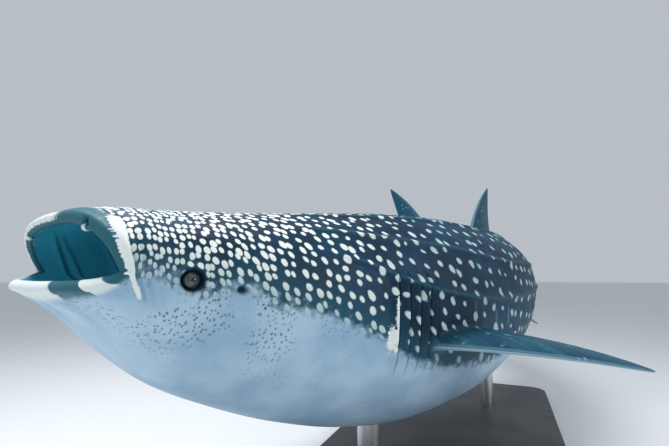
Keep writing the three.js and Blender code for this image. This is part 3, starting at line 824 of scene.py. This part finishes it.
# Every vertex of the joined skin takes its place on the body and on the nearest fin
ON_POINT = 1e-5
skin_points = np.empty(len(skin.data.vertices) * 3, np.float32)
skin.data.vertices.foreach_get("co", skin_points)
skin_points = skin_points.reshape(-1, 3).astype(float)
fin_points = fin_value("points").reshape(-1, 3) * METRES
body_index, body_distance = nearest(body_points * METRES, skin_points)
fin_index, fin_distance = nearest(fin_points, skin_points)
on_fin = (fin_distance < body_distance).astype(float)
at_joint = (fin_distance > ON_POINT) & (body_distance > ON_POINT)

# Soft root of each fin: the vertices near the joint are relaxed towards their neighbours
ROOT_PASSES = 26
ROOT_PULL = 0.6
fillets = np.concatenate([
    np.full(FINS[name]["along"].size, FILLETS[name] * METRES) for name in FINS
])
joint_distance = nearest(skin_points[at_joint], skin_points)[1]
soft = 1 - smooth_step(0.25, 1.0, joint_distance / fillets[fin_index])
edges = np.empty(len(skin.data.edges) * 2, np.int32)
skin.data.edges.foreach_get("vertices", edges)
edges = edges.reshape(-1, 2)
edges = edges[(soft[edges] > 0).any(1)]


def relaxed(values):
    """Values near the joints, moved towards the mean of their neighbours."""
    values = values.copy()
    count = np.zeros(len(values))
    np.add.at(count, edges[:, 0], 1)
    np.add.at(count, edges[:, 1], 1)
    count = np.maximum(count, 1)
    for _ in range(ROOT_PASSES):
        total = np.zeros_like(values)
        np.add.at(total, edges[:, 0], values[edges[:, 1]])
        np.add.at(total, edges[:, 1], values[edges[:, 0]])
        mean = (total.T / count).T
        values += ((mean - values).T * soft).T * ROOT_PULL
    return values


skin_points = relaxed(skin_points)
on_fin = relaxed(on_fin)
skin.data.vertices.foreach_set("co", skin_points.astype(np.float32).ravel())


def lip_pale_share(angle, share):
    """How pale the lips are: the front of the lower one, the far upper one, and the edges."""
    signed = signed_angle(angle)
    far = smooth_step(12, 0, signed) * smooth_step(0.05, 0.2, share)
    far = far * smooth_step(0.80, 0.62, share)
    near = smooth_step(0.84, 0.93, share) * smooth_step(14, 30, signed)
    upper = np.maximum(0.75 * far, 0.8 * near)
    front = smooth_step(154, 164, angle) * smooth_step(262, 250, angle)
    corner = smooth_step(97, 103, angle) * smooth_step(127, 120, angle)
    lower = np.maximum(front, np.maximum(corner, 0.3 * smooth_step(0.6, 0.9, share)))
    return np.where(side_angle(angle) < 90, upper, lower)


def patch_and_gill_highlight(s, side, share):
    """Share of the pale patch at the mouth, and of the painted highlight on the edge of the first
    gill flap.
    """
    station, half_width = patch_line(side)
    patch = np.exp(-(((s - station) / half_width) ** 4))
    patch = patch * smooth_step(40, 54, side) * smooth_step(112, 102, side)
    patch = patch * smooth_step(0.30, 0.08, share)
    # Painted highlight along the raised edge of the first gill flap, and a blot of it on the flap
    edge_highlight = hump(s - 1368, 12) * smooth_step(82, 90, side) * smooth_step(111, 105, side)
    flap_highlight = np.exp(-(((s - 1345) / 26) ** 2) - ((side - 102) / 5) ** 2)
    return np.maximum(patch, np.maximum(0.8 * edge_highlight, 1.1 * flap_highlight))


def skin_numbers():
    """What paints the skin, as numbers on its vertices."""
    here = {name: values[body_index] for name, values in body.items()}
    fin = {name: fin_value(name)[fin_index] for name in ("along", "reach", "pale", "edge")}
    s = here["s"]
    side = side_angle(here["angle"])
    flap = here["pale"]
    flat = np.zeros_like(s)
    off_fin = 1 - on_fin
    steps_along = np.arange(CENTRELINE_START, BODY_END + 1, 5.0)
    summed = np.cumsum(5.0 / value_at(SPOT_STEP, steps_along))
    cells_along = np.interp(s, steps_along, summed)
    # Painted shade in the gill slits
    slit_shade = np.clip(-gill_relief(s, side) / GILL["pit"], 0, 1)
    # Pale patch at the mouth, and the painted highlight on the first gill flap
    patch = patch_and_gill_highlight(s, side, here["share"])
    lip_pale = np.maximum(lip_pale_share(here["angle"], here["share"]), patch)
    return {
        "cells": np.stack([cells_along, here["around"] / value_at(SPOT_STEP, s), flat], 1),
        "place": np.stack([s * METRES, here["around"] * METRES, side / 180], 1),
        "fin_cells": np.stack([fin["along"], fin["reach"], flat], 1),
        "below": np.radians(side - value_at(BORDER, s)) * half_height(s) * METRES,
        "on_fin": np.clip(on_fin, 0, 1),
        "fin_pale": fin["pale"],
        "fin_edge": np.clip(fin["edge"] / 40, 0, 1),
        "lip": np.maximum(here["lip"], flap) * off_fin,
        "mouth": here["mouth"] * (1 - flap) * off_fin,
        # Painted shade in the gill slits, eye sockets, spiracles and nostrils
        "pit": np.maximum(slit_shade, here["deep"]) * off_fin,
        "lip_pale": np.maximum(lip_pale, flap),
        "patch": patch * off_fin,
        # Painted highlight along the ridge crests
        "crest": crest_share(s, side) * off_fin,
        "crease": crease_shadow_share(s, side),
    }


for number_name, numbers in skin_numbers().items():
    kind, key = ("FLOAT_VECTOR", "vector") if numbers.ndim == 2 else ("FLOAT", "value")
    attribute = skin.data.attributes.new(number_name, kind, "POINT")
    attribute.data.foreach_set(key, numbers.astype(np.float32).ravel())
skin.data.shade_smooth()


class Shader:
    """Short calls for making one node material."""

    def __init__(self, name):
        self.material = bpy.data.materials.new(name)
        self.material.use_nodes = True
        self.tree = self.material.node_tree
        self.surface = self.tree.nodes["Principled BSDF"]

    def feed(self, socket, value):
        """Gives a socket a number or colour, or a link from another node."""
        if isinstance(value, bpy.types.NodeSocket):
            self.tree.links.new(value, socket)
        else:
            socket.default_value = value

    def node(self, kind, inputs, output=0, **settings):
        made = self.tree.nodes.new(kind)
        for key, value in settings.items():
            setattr(made, key, value)
        for key, value in inputs.items():
            self.feed(made.inputs[key], value)
        return made.outputs[output]

    def object_place(self):
        return self.node("ShaderNodeTexCoord", {}, "Object")

    def attribute(self, name, output="Fac"):
        return self.node("ShaderNodeAttribute", {}, output, attribute_name=name)

    def math(self, operation, *values):
        return self.node("ShaderNodeMath", dict(enumerate(values)), operation=operation)

    def product(self, a, b):
        return self.math("MULTIPLY", a, b)

    def vector(self, operation, a, b):
        return self.node("ShaderNodeVectorMath", {0: a, 1: b}, operation=operation)

    def ramp(self, value, low, high, to_low=0.0, to_high=1.0, kind="SMOOTHSTEP"):
        """Value mapped from low and high to other ends, and held beyond them."""
        inputs = {0: value, 1: low, 2: high, 3: to_low, 4: to_high}
        return self.node("ShaderNodeMapRange", inputs, interpolation_type=kind)

    def mix(self, share, a, b):
        """Colour a, with a share of colour b."""
        return self.node("ShaderNodeMix", {0: share, 6: a, 7: b}, 2, data_type="RGBA")

    def noise(self, vector, scale, detail=3.0, output=0):
        inputs = {"Vector": vector, "Scale": scale, "Detail": detail}
        return self.node("ShaderNodeTexNoise", inputs, output)

    def cells(self, vector, scale, randomness, output="Distance"):
        """Flat cells round uneven points, as the distance from a cell's point or its colour."""
        inputs = {"Vector": vector, "Scale": scale, "Randomness": randomness}
        return self.node("ShaderNodeTexVoronoi", inputs, output, voronoi_dimensions="2D")

    def moved(self, vector, by, length):
        """Vector pushed about by a colour between 0 and 1."""
        centred = self.vector("SUBTRACT", by, (0.5, 0.5, 0.5))
        scaled = self.node("ShaderNodeVectorMath", {0: centred, 3: length}, operation="SCALE")
        return self.vector("ADD", vector, scaled)

    def spots(self, vector, radius, soft, randomness):
        """Round spots, one in each cell, of uneven size."""
        distance = self.cells(vector, 1.0, randomness)
        chance = self.cells(vector, 1.0, randomness, "Color")
        uneven = self.math("MULTIPLY_ADD", chance, 0.16, -0.08)
        wide = self.math("SUBTRACT", distance, uneven)
        return self.ramp(self.math("SUBTRACT", wide, radius), soft, -soft)

    def bump(self, height, distance, strength, after=None):
        inputs = {"Height": height, "Distance": distance, "Strength": strength}
        if after is not None:
            inputs["Normal"] = after
        return self.node("ShaderNodeBump", inputs)

    def finish(self, **sockets):
        """The material; socket names have underscores for spaces."""
        for key, value in sockets.items():
            self.feed(self.surface.inputs[key.replace("_", " ")], value)
        return self.material


def rgb(r, g, b):
    return (r, g, b, 1.0)


DARK = rgb(0.004, 0.042, 0.086)
DARK_DEEP = rgb(0.002, 0.019, 0.046)
TEAL = rgb(0.018, 0.110, 0.150)
SPOT = rgb(0.78, 0.84, 0.80)
SPOT_DIM = rgb(0.20, 0.38, 0.42)
BELLY = rgb(0.42, 0.57, 0.69)
BELLY_SHADE = rgb(0.25, 0.40, 0.54)
SPECK = rgb(0.035, 0.085, 0.15)
LIP_PALE = rgb(0.74, 0.80, 0.78)
LINING = rgb(0.060, 0.480, 0.640)
# Lining in painted shade, and the darker filter pads on the mouth's floor
LINING_SHADE_AND_PADS = rgb(0.010, 0.090, 0.130)


def spotted_back(m, station, below, broad, wander):
    """Dark back with pale spots, dimmer and smaller further back, faint bars, and a painted
    highlight along the ridge crests.
    """
    warped = m.moved(m.attribute("cells", "Vector"), wander, 0.55)
    spots = m.spots(warped, m.ramp(station, 0.5, 1.6, 0.36, 0.18, "LINEAR"), 0.06, 0.55)
    bars = m.ramp(m.cells(m.vector("MULTIPLY", warped, (0.5, 0.12, 0)), 1.0, 0.35), 0.10, 0.03)
    bars = m.product(bars, m.product(m.ramp(station, 1.5, 2.4), 0.22))
    marks = m.math("MAXIMUM", spots, bars)
    back = m.mix(m.ramp(broad, 0.35, 0.7), DARK_DEEP, DARK)
    back = m.mix(m.product(m.ramp(below, -0.17, 0.0), 0.55), back, TEAL)
    # Painted highlight along the crest of each ridge
    back = m.mix(m.product(m.attribute("crest"), 0.5), back, TEAL)
    dimming = m.ramp(station, 0.8, 2.2, 0.0, 0.85)
    dimming = m.math("ADD", dimming, m.ramp(below, -0.10, 0.03, 0.0, 0.7))
    return m.mix(marks, back, m.mix(m.math("MINIMUM", dimming, 0.9), SPOT, SPOT_DIM))


def pale_belly(m, station, below, broad, place):
    """Pale belly with crowds of dark specks on the throat."""
    belly = m.mix(m.ramp(broad, 0.3, 0.75), BELLY, BELLY_SHADE)
    speck_place = m.moved(place, m.noise(place, 14.0, 3.0, 1), 0.03)
    specks = m.ramp(m.cells(speck_place, 42.0, 1.0), 0.30, 0.14)
    crowd = m.ramp(m.noise(place, 5.0, 3.0), 0.44, 0.60)
    zone = m.product(m.ramp(below, 0.42, 0.02), m.ramp(station, 1.35, 0.75))
    specks = m.product(m.product(specks, crowd), zone)
    return m.mix(m.product(specks, 0.85), belly, SPECK)


def fin_colour(m, broad, fine, wander):
    """Dark above with a few spots, pale beneath, and lighter at the edges."""
    fin_cells = m.attribute("fin_cells", "Vector")
    spots = m.spots(m.moved(fin_cells, wander, 0.5), 0.20, 0.05, 0.8)
    some = m.ramp(m.noise(fin_cells, 0.35, 2.0), 0.54, 0.66)
    above = m.mix(m.ramp(fine, 0.3, 0.8, 0.0, 0.7), DARK, TEAL)
    above = m.mix(m.product(m.product(spots, some), 0.7), above, SPOT_DIM)
    beneath = m.mix(m.ramp(broad, 0.3, 0.7), BELLY, BELLY_SHADE)
    fin = m.mix(m.attribute("fin_pale"), above, beneath)
    return m.mix(m.ramp(m.attribute("fin_edge"), 0.35, 0.0, 0.0, 0.35), fin, SPOT_DIM)


def with_lips(m, body_colour, place):
    """The body's colour with its lips, the ragged pale patch near the mouth, and the ragged painted
    highlight on the first gill flap.
    """
    ragged = m.math("SUBTRACT", m.noise(place, 70.0, 4.0), 0.5)
    blotch = m.math("MULTIPLY_ADD", ragged, 1.2, m.attribute("lip_pale"))
    lip = m.mix(m.ramp(blotch, 0.40, 0.70, 0.0, 0.92), TEAL, LIP_PALE)
    body_colour = m.mix(m.attribute("lip"), body_colour, lip)
    # Pale patch at the mouth, and the painted highlight on the first gill flap
    patch = m.attribute("patch")
    pale_patch_and_highlight = m.math("MULTIPLY_ADD", ragged, 1.6, patch)
    pale_patch_and_highlight = m.product(m.ramp(pale_patch_and_highlight, 0.4, 0.7), m.ramp(patch, 0.02, 0.15))
    return m.mix(pale_patch_and_highlight, body_colour, LIP_PALE)


def lining_colour(m, station, down):
    """Mouth lining, with painted shade deeper in the throat and in the crease behind each fold, and
    painted shade with darker filter pads on the mouth's floor.
    """
    # Painted shade deeper in the throat
    lining = m.mix(m.ramp(station, 0.15, 0.75), LINING, LINING_SHADE_AND_PADS)
    # Painted shade with the darker filter pads on the mouth's floor
    low = m.product(m.ramp(down, 0.62, 0.74), m.ramp(station, 0.0, 0.1))
    lining = m.mix(m.product(low, 0.7), lining, LINING_SHADE_AND_PADS)
    # Painted shadow in the crease behind each fold
    return m.mix(m.product(m.attribute("crease"), 0.85), lining, LINING_SHADE_AND_PADS)


def skin_material():
    m = Shader("shark_skin_paint")
    place = m.attribute("place", "Vector")
    below = m.attribute("below")
    station, _, down = m.node("ShaderNodeSeparateXYZ", {0: place}).node.outputs
    wander = m.noise(place, 9.0, 2.0, 1)
    broad = m.noise(place, 3.2, 4.0)
    fine = m.noise(place, 26.0, 4.0)

    # Back and belly, with an uneven border between them
    marked = spotted_back(m, station, below, broad, wander)
    belly = pale_belly(m, station, below, broad, place)
    ragged = m.math("MULTIPLY_ADD", fine, 0.10, m.math("MULTIPLY_ADD", broad, 0.10, -0.10))
    pale = m.ramp(m.math("ADD", below, ragged), -0.022, 0.045)
    colour = m.mix(pale, marked, belly)

    # Fins, lips, mouth lining, and painted shade in the gill slits, eye sockets, spiracles and
    # nostrils
    colour = m.mix(m.attribute("on_fin"), colour, fin_colour(m, broad, fine, wander))
    colour = with_lips(m, colour, place)
    colour = m.mix(m.attribute("mouth"), colour, lining_colour(m, station, down))
    colour = m.mix(m.attribute("pit"), colour, DARK_DEEP)

    # Fine creases along the body, and skin teeth
    creases = m.noise(m.vector("MULTIPLY", place, (9.0, 40.0, 1.0)), 1.6, 5.0)
    teeth = m.noise(place, 520.0, 2.0)
    normal = m.bump(teeth, 0.0012, 0.35, m.bump(creases, 0.004, 0.5))
    rough = m.ramp(fine, 0.25, 0.8, 0.42, 0.60, "LINEAR")
    return m.finish(Base_Color=colour, Roughness=rough, Normal=normal, Specular_IOR_Level=0.18)


skin.data.materials.clear()
skin.data.materials.append(skin_material())
skin.data.polygons.foreach_set("material_index", np.zeros(len(skin.data.polygons), np.int32))
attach(skin, "root")
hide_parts(*BODY_NODES, *FINS)

# Eyes: a ball with a clear bulge in front, a groove round the iris, and a dark pupil
EYE_RINGS = 40
EYE_COLUMNS = 64


def eye_mesh(name, side):
    at, along, across, out = spot_frame(EYE_STATION, side)
    centre = at - out * EYE["sink"]
    polar = np.linspace(0, np.pi, EYE_RINGS + 2)[1:-1]
    turn_round = np.linspace(0, 2 * np.pi, EYE_COLUMNS, endpoint=False)
    wide = EYE["radius"] * np.sin(polar)
    high = EYE["radius"] * np.cos(polar)
    front = high > 0
    dome = EYE["bulge"] * (1 - smooth_step(0, EYE["iris"] + 5, wide)) * front
    groove = 0.8 * hump(wide - EYE["iris"] - 3, 2.5) * front
    high = high + dome - groove
    ring = along * np.cos(turn_round)[:, None] + across * np.sin(turn_round)[:, None]
    points = centre + wide[:, None, None] * ring + high[:, None, None] * out
    tips = np.stack([centre + out * (EYE["radius"] + EYE["bulge"]), centre - out * EYE["radius"]])
    ball = mesh_object(
        name, np.concatenate([points.reshape(-1, 3), tips]), grid_faces(EYE_RINGS, EYE_COLUMNS))
    off_axis = np.concatenate([np.repeat(wide + 60.0 * ~front, EYE_COLUMNS), [0, 90]])
    from_axis = ball.data.attributes.new("off_axis", "FLOAT", "POINT")
    from_axis.data.foreach_set("value", (off_axis / EYE["iris"]).astype(np.float32))
    return ball


def eye_material():
    m = Shader("eye_gloss")
    off_axis = m.attribute("off_axis")
    place = m.object_place()
    streaks = m.noise(place, 420.0, 3.0)
    iris = m.mix(streaks, rgb(0.018, 0.020, 0.018), rgb(0.08, 0.08, 0.07))
    pupil_edge = EYE["pupil"] / EYE["iris"]
    colour = m.mix(m.ramp(off_axis, pupil_edge - 0.05, pupil_edge), rgb(0.002, 0.002, 0.003), iris)
    ball_colour = m.mix(streaks, rgb(0.015, 0.028, 0.036), rgb(0.035, 0.055, 0.065))
    colour = m.mix(m.ramp(off_axis, 0.98, 1.08), colour, ball_colour)
    return m.finish(Base_Color=colour, Roughness=0.08, Coat_Weight=0.6, Coat_Roughness=0.03)


eye_paint = eye_material()
for eye_name, eye_angle in (("eye_left", 90), ("eye_right", 270)):
    ball = eye_mesh(eye_name + "_ball", eye_angle)
    ball.data.materials.append(eye_paint)
    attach(ball, "root")
    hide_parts(eye_name)


# Stand: painted board and brushed steel rods
def base_material():
    m = Shader("stand_base_paint")
    place = m.object_place()
    cloud = m.noise(place, 2.2, 5.0)
    grain = m.noise(place, 240.0, 3.0)
    colour = m.mix(cloud, rgb(0.030, 0.033, 0.036), rgb(0.050, 0.054, 0.058))
    normal = m.bump(grain, 0.0006, 0.3)
    return m.finish(Base_Color=colour, Roughness=m.ramp(cloud, 0.3, 0.7, 0.42, 0.56), Normal=normal)


def rod_material():
    m = Shader("stand_rod_steel")
    place = m.object_place()
    brushed = m.noise(m.vector("MULTIPLY", place, (1.0, 1.0, 60.0)), 18.0, 4.0)
    colour = m.mix(brushed, rgb(0.42, 0.43, 0.44), rgb(0.62, 0.63, 0.64))
    normal = m.bump(brushed, 0.0004, 0.3)
    rough = m.ramp(brushed, 0.3, 0.7, 0.26, 0.40)
    return m.finish(Base_Color=colour, Roughness=rough, Metallic=1.0, Normal=normal)


def coat(node_name, material):
    """Gives a CAD node another material."""
    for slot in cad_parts[node_name].material_slots:
        slot.material = material


coat("stand_base", base_material())
rod_steel = rod_material()
coat("stand_rod_front", rod_steel)
coat("stand_rod_rear", rod_steel)

# Floor and light
FLOOR_REACH = 90


def floor_material():
    m = Shader("floor_pale")
    place = m.object_place()
    tone = m.mix(m.noise(place, 0.6, 3.0), rgb(0.70, 0.72, 0.74), rgb(0.74, 0.76, 0.78))
    return m.finish(Base_Color=tone, Roughness=0.8)


floor_mesh = bpy.data.meshes.new("floor")
floor_mesh.from_pydata(
    [(x * FLOOR_REACH, y * FLOOR_REACH, 0) for x, y in ((-1, -1), (1, -1), (1, 1), (-1, 1))],
    [], [(0, 1, 2, 3)],
)
floor = added("floor", floor_mesh)
floor.data.materials.append(floor_material())


def area_light(name, at, towards, size, power):
    light = bpy.data.lights.new(name, "AREA")
    light.shape = "DISK"
    light.size = size
    light.energy = power
    lamp = added(name, light)
    lamp.location = at
    aim = Vector(towards) - Vector(at)
    lamp.rotation_euler = aim.to_track_quat("-Z", "Y").to_euler()


area_light("key", (-2.2, -2.0, 6.5), (-0.3, -0.8, 1.2), 3.4, 420)
area_light("side", (5.0, -1.5, 3.2), (0.0, -0.5, 1.2), 3.0, 110)
area_light("front", (-2.5, -5.5, 1.6), (-0.9, -1.8, 1.2), 2.4, 26)
world = bpy.data.worlds.new("studio")
bpy.context.scene.world = world
world.use_nodes = True
background = world.node_tree.nodes["Background"]
background.inputs["Color"].default_value = rgb(0.80, 0.86, 0.93)
background.inputs["Strength"].default_value = 0.60
bpy.context.scene.view_settings.view_transform = "Standard"

# Camera at the photograph's place: the plan's origin, level with the body's axis
PHOTO_WIDTH = 669
FOCAL_PIXELS = 400
CAMERA_TILT = 97.5
CAMERA_TURN = 22.5
camera_data = bpy.data.cameras.new("camera")
camera_data.sensor_width = 36
camera_data.lens = FOCAL_PIXELS / PHOTO_WIDTH * camera_data.sensor_width
camera = added("camera", camera_data)
camera.location = [v * METRES for v in (*PLAN_SHIFT, AXIS_HEIGHT)]
camera.rotation_euler = (math.radians(CAMERA_TILT), 0, math.radians(CAMERA_TURN))
bpy.context.scene.camera = camera
